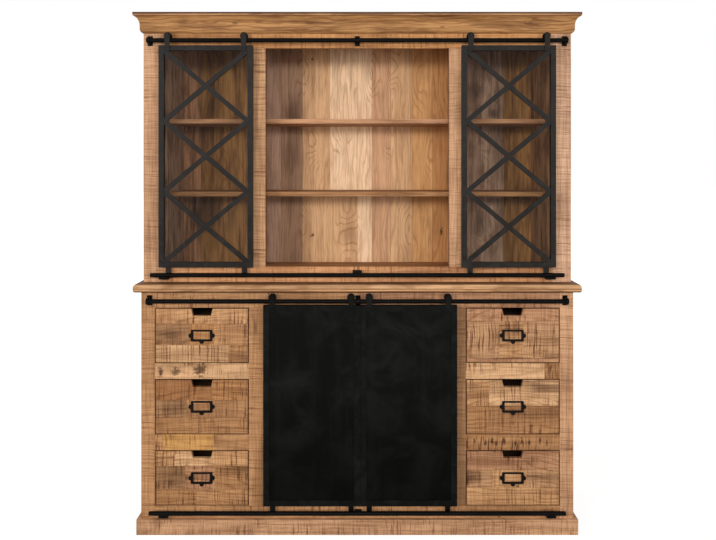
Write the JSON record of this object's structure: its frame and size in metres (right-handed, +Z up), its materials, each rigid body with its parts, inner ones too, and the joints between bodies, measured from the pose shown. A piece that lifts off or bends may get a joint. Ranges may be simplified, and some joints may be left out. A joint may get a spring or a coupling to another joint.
{
  "type": "china cabinet",
  "caption": "Rustic wood china cabinet: shelved hutch with sliding cross-braced glass doors, on a base of notched drawers and sliding sheet-steel doors.",
  "frame": {"origin": "on the floor, under the middle of the overall box", "axes": "+X to the viewer's right, +Y from the front to the back, +Z up"},
  "size_m": [1.898, 0.4696, 2.2],
  "materials": {
    "carcass_wood": "oiled, saw-marked",
    "rail_wood": "oiled, saw-marked",
    "moulding_wood": "oiled, planed",
    "inner_wood": "oiled",
    "shelf_wood": "oiled",
    "back_board_wood": "oiled, mixed boards",
    "drawer_front_wood": "oiled, saw-marked",
    "drawer_box_wood": "plain",
    "door_frame_steel": "satin black",
    "door_sheet_steel": "satin black",
    "rod_steel": "satin black",
    "wheel_steel": "satin black",
    "label_metal": "satin black",
    "pane_glass": "clear"
  },
  "bodies": {
    "cabinet": {"base_back_boards": "back_board_wood", "base_floor": "inner_wood", "base_guide_rod": "rod_steel", "base_inner_walls": "inner_wood", "base_rails": "rail_wood", "base_shelf": "inner_wood", "base_sides": "carcass_wood", "base_stiles": "carcass_wood", "base_track_rod": "rod_steel", "cornice": "moulding_wood", "drawer_runners": "inner_wood", "guide_brackets": "rod_steel", "hutch_back_boards": "back_board_wood", "hutch_floor": "inner_wood", "hutch_guide_rod": "rod_steel", "hutch_inner_walls": "inner_wood", "hutch_rails": "rail_wood", "hutch_shelves": "shelf_wood", "hutch_sides": "carcass_wood", "hutch_stiles": "carcass_wood", "hutch_top": "inner_wood", "hutch_track_rod": "rod_steel", "plinth": "rail_wood", "tabletop": "moulding_wood", "track_brackets": "rod_steel"},
    "left_glass_door": {"left_glass_door_frame": "door_frame_steel", "left_glass_door_pane": "pane_glass"},
    "left_glass_door_left_wheel": {"left_glass_door_left_wheel": "wheel_steel"},
    "left_glass_door_right_wheel": {"left_glass_door_right_wheel": "wheel_steel"},
    "right_glass_door": {"right_glass_door_frame": "door_frame_steel", "right_glass_door_pane": "pane_glass"},
    "right_glass_door_left_wheel": {"right_glass_door_left_wheel": "wheel_steel"},
    "right_glass_door_right_wheel": {"right_glass_door_right_wheel": "wheel_steel"},
    "left_steel_door": {"left_steel_door_frame": "door_sheet_steel", "left_steel_door_panel": "door_sheet_steel"},
    "left_steel_door_left_wheel": {"left_steel_door_left_wheel": "wheel_steel"},
    "left_steel_door_right_wheel": {"left_steel_door_right_wheel": "wheel_steel"},
    "right_steel_door": {"right_steel_door_frame": "door_sheet_steel", "right_steel_door_panel": "door_sheet_steel"},
    "right_steel_door_left_wheel": {"right_steel_door_left_wheel": "wheel_steel"},
    "right_steel_door_right_wheel": {"right_steel_door_right_wheel": "wheel_steel"},
    "left_bottom_drawer": {"left_bottom_drawer_front": "drawer_front_wood", "left_bottom_drawer_box": "drawer_box_wood", "left_bottom_drawer_label_holder": "label_metal"},
    "left_middle_drawer": {"left_middle_drawer_front": "drawer_front_wood", "left_middle_drawer_box": "drawer_box_wood", "left_middle_drawer_label_holder": "label_metal"},
    "left_top_drawer": {"left_top_drawer_front": "drawer_front_wood", "left_top_drawer_box": "drawer_box_wood", "left_top_drawer_label_holder": "label_metal"},
    "right_bottom_drawer": {"right_bottom_drawer_front": "drawer_front_wood", "right_bottom_drawer_box": "drawer_box_wood", "right_bottom_drawer_label_holder": "label_metal"},
    "right_middle_drawer": {"right_middle_drawer_front": "drawer_front_wood", "right_middle_drawer_box": "drawer_box_wood", "right_middle_drawer_label_holder": "label_metal"},
    "right_top_drawer": {"right_top_drawer_front": "drawer_front_wood", "right_top_drawer_box": "drawer_box_wood", "right_top_drawer_label_holder": "label_metal"}
  },
  "joints": [
    {"name": "left_glass_door_slide", "type": "slide", "parent": "cabinet", "child": "left_glass_door", "axis": [1, 0, 0], "range_m": [-0.059, 0.4405]},
    {"name": "left_glass_door_left_wheel_spin", "type": "hinge", "parent": "left_glass_door", "child": "left_glass_door_left_wheel", "pos_m": [-0.8005, -0.18125, 2.0988], "axis": [0, 1, 0], "continuous": true},
    {"name": "left_glass_door_right_wheel_spin", "type": "hinge", "parent": "left_glass_door", "child": "left_glass_door_right_wheel", "pos_m": [-0.4785, -0.18125, 2.0988], "axis": [0, 1, 0], "continuous": true},
    {"name": "right_glass_door_slide", "type": "slide", "parent": "cabinet", "child": "right_glass_door", "axis": [-1, 0, 0], "range_m": [-0.059, 0.4405]},
    {"name": "right_glass_door_left_wheel_spin", "type": "hinge", "parent": "right_glass_door", "child": "right_glass_door_left_wheel", "pos_m": [0.4785, -0.18125, 2.0988], "axis": [0, 1, 0], "continuous": true},
    {"name": "right_glass_door_right_wheel_spin", "type": "hinge", "parent": "right_glass_door", "child": "right_glass_door_right_wheel", "pos_m": [0.8005, -0.18125, 2.0988], "axis": [0, 1, 0], "continuous": true},
    {"name": "left_steel_door_slide", "type": "slide", "parent": "cabinet", "child": "left_steel_door", "axis": [1, 0, 0], "range_m": [-0.4975, 0]},
    {"name": "left_steel_door_left_wheel_spin", "type": "hinge", "parent": "left_steel_door", "child": "left_steel_door_left_wheel", "pos_m": [-0.355, -0.21525, 1.0003], "axis": [0, 1, 0], "continuous": true},
    {"name": "left_steel_door_right_wheel_spin", "type": "hinge", "parent": "left_steel_door", "child": "left_steel_door_right_wheel", "pos_m": [-0.026, -0.21525, 1.0003], "axis": [0, 1, 0], "continuous": true},
    {"name": "right_steel_door_slide", "type": "slide", "parent": "cabinet", "child": "right_steel_door", "axis": [-1, 0, 0], "range_m": [-0.4735, 0]},
    {"name": "right_steel_door_left_wheel_spin", "type": "hinge", "parent": "right_steel_door", "child": "right_steel_door_left_wheel", "pos_m": [0.05, -0.21525, 1.0003], "axis": [0, 1, 0], "continuous": true},
    {"name": "right_steel_door_right_wheel_spin", "type": "hinge", "parent": "right_steel_door", "child": "right_steel_door_right_wheel", "pos_m": [0.379, -0.21525, 1.0003], "axis": [0, 1, 0], "continuous": true},
    {"name": "left_bottom_drawer_slide", "type": "slide", "parent": "cabinet", "child": "left_bottom_drawer", "axis": [0, -1, 0], "range_m": [0, 0.28]},
    {"name": "left_middle_drawer_slide", "type": "slide", "parent": "cabinet", "child": "left_middle_drawer", "axis": [0, -1, 0], "range_m": [0, 0.28]},
    {"name": "left_top_drawer_slide", "type": "slide", "parent": "cabinet", "child": "left_top_drawer", "axis": [0, -1, 0], "range_m": [0, 0.28]},
    {"name": "right_bottom_drawer_slide", "type": "slide", "parent": "cabinet", "child": "right_bottom_drawer", "axis": [0, -1, 0], "range_m": [0, 0.28]},
    {"name": "right_middle_drawer_slide", "type": "slide", "parent": "cabinet", "child": "right_middle_drawer", "axis": [0, -1, 0], "range_m": [0, 0.28]},
    {"name": "right_top_drawer_slide", "type": "slide", "parent": "cabinet", "child": "right_top_drawer", "axis": [0, -1, 0], "range_m": [0, 0.28]}
  ],
  "couplings": [
    {"joint": "left_glass_door_left_wheel_spin", "follows": "left_glass_door_slide", "rad_per_m": 133.33},
    {"joint": "left_glass_door_right_wheel_spin", "follows": "left_glass_door_slide", "rad_per_m": 133.33},
    {"joint": "right_glass_door_left_wheel_spin", "follows": "right_glass_door_slide", "rad_per_m": -133.33},
    {"joint": "right_glass_door_right_wheel_spin", "follows": "right_glass_door_slide", "rad_per_m": -133.33},
    {"joint": "left_steel_door_left_wheel_spin", "follows": "left_steel_door_slide", "rad_per_m": 133.33},
    {"joint": "left_steel_door_right_wheel_spin", "follows": "left_steel_door_slide", "rad_per_m": 133.33},
    {"joint": "right_steel_door_left_wheel_spin", "follows": "right_steel_door_slide", "rad_per_m": -133.33},
    {"joint": "right_steel_door_right_wheel_spin", "follows": "right_steel_door_slide", "rad_per_m": -133.33}
  ]
}
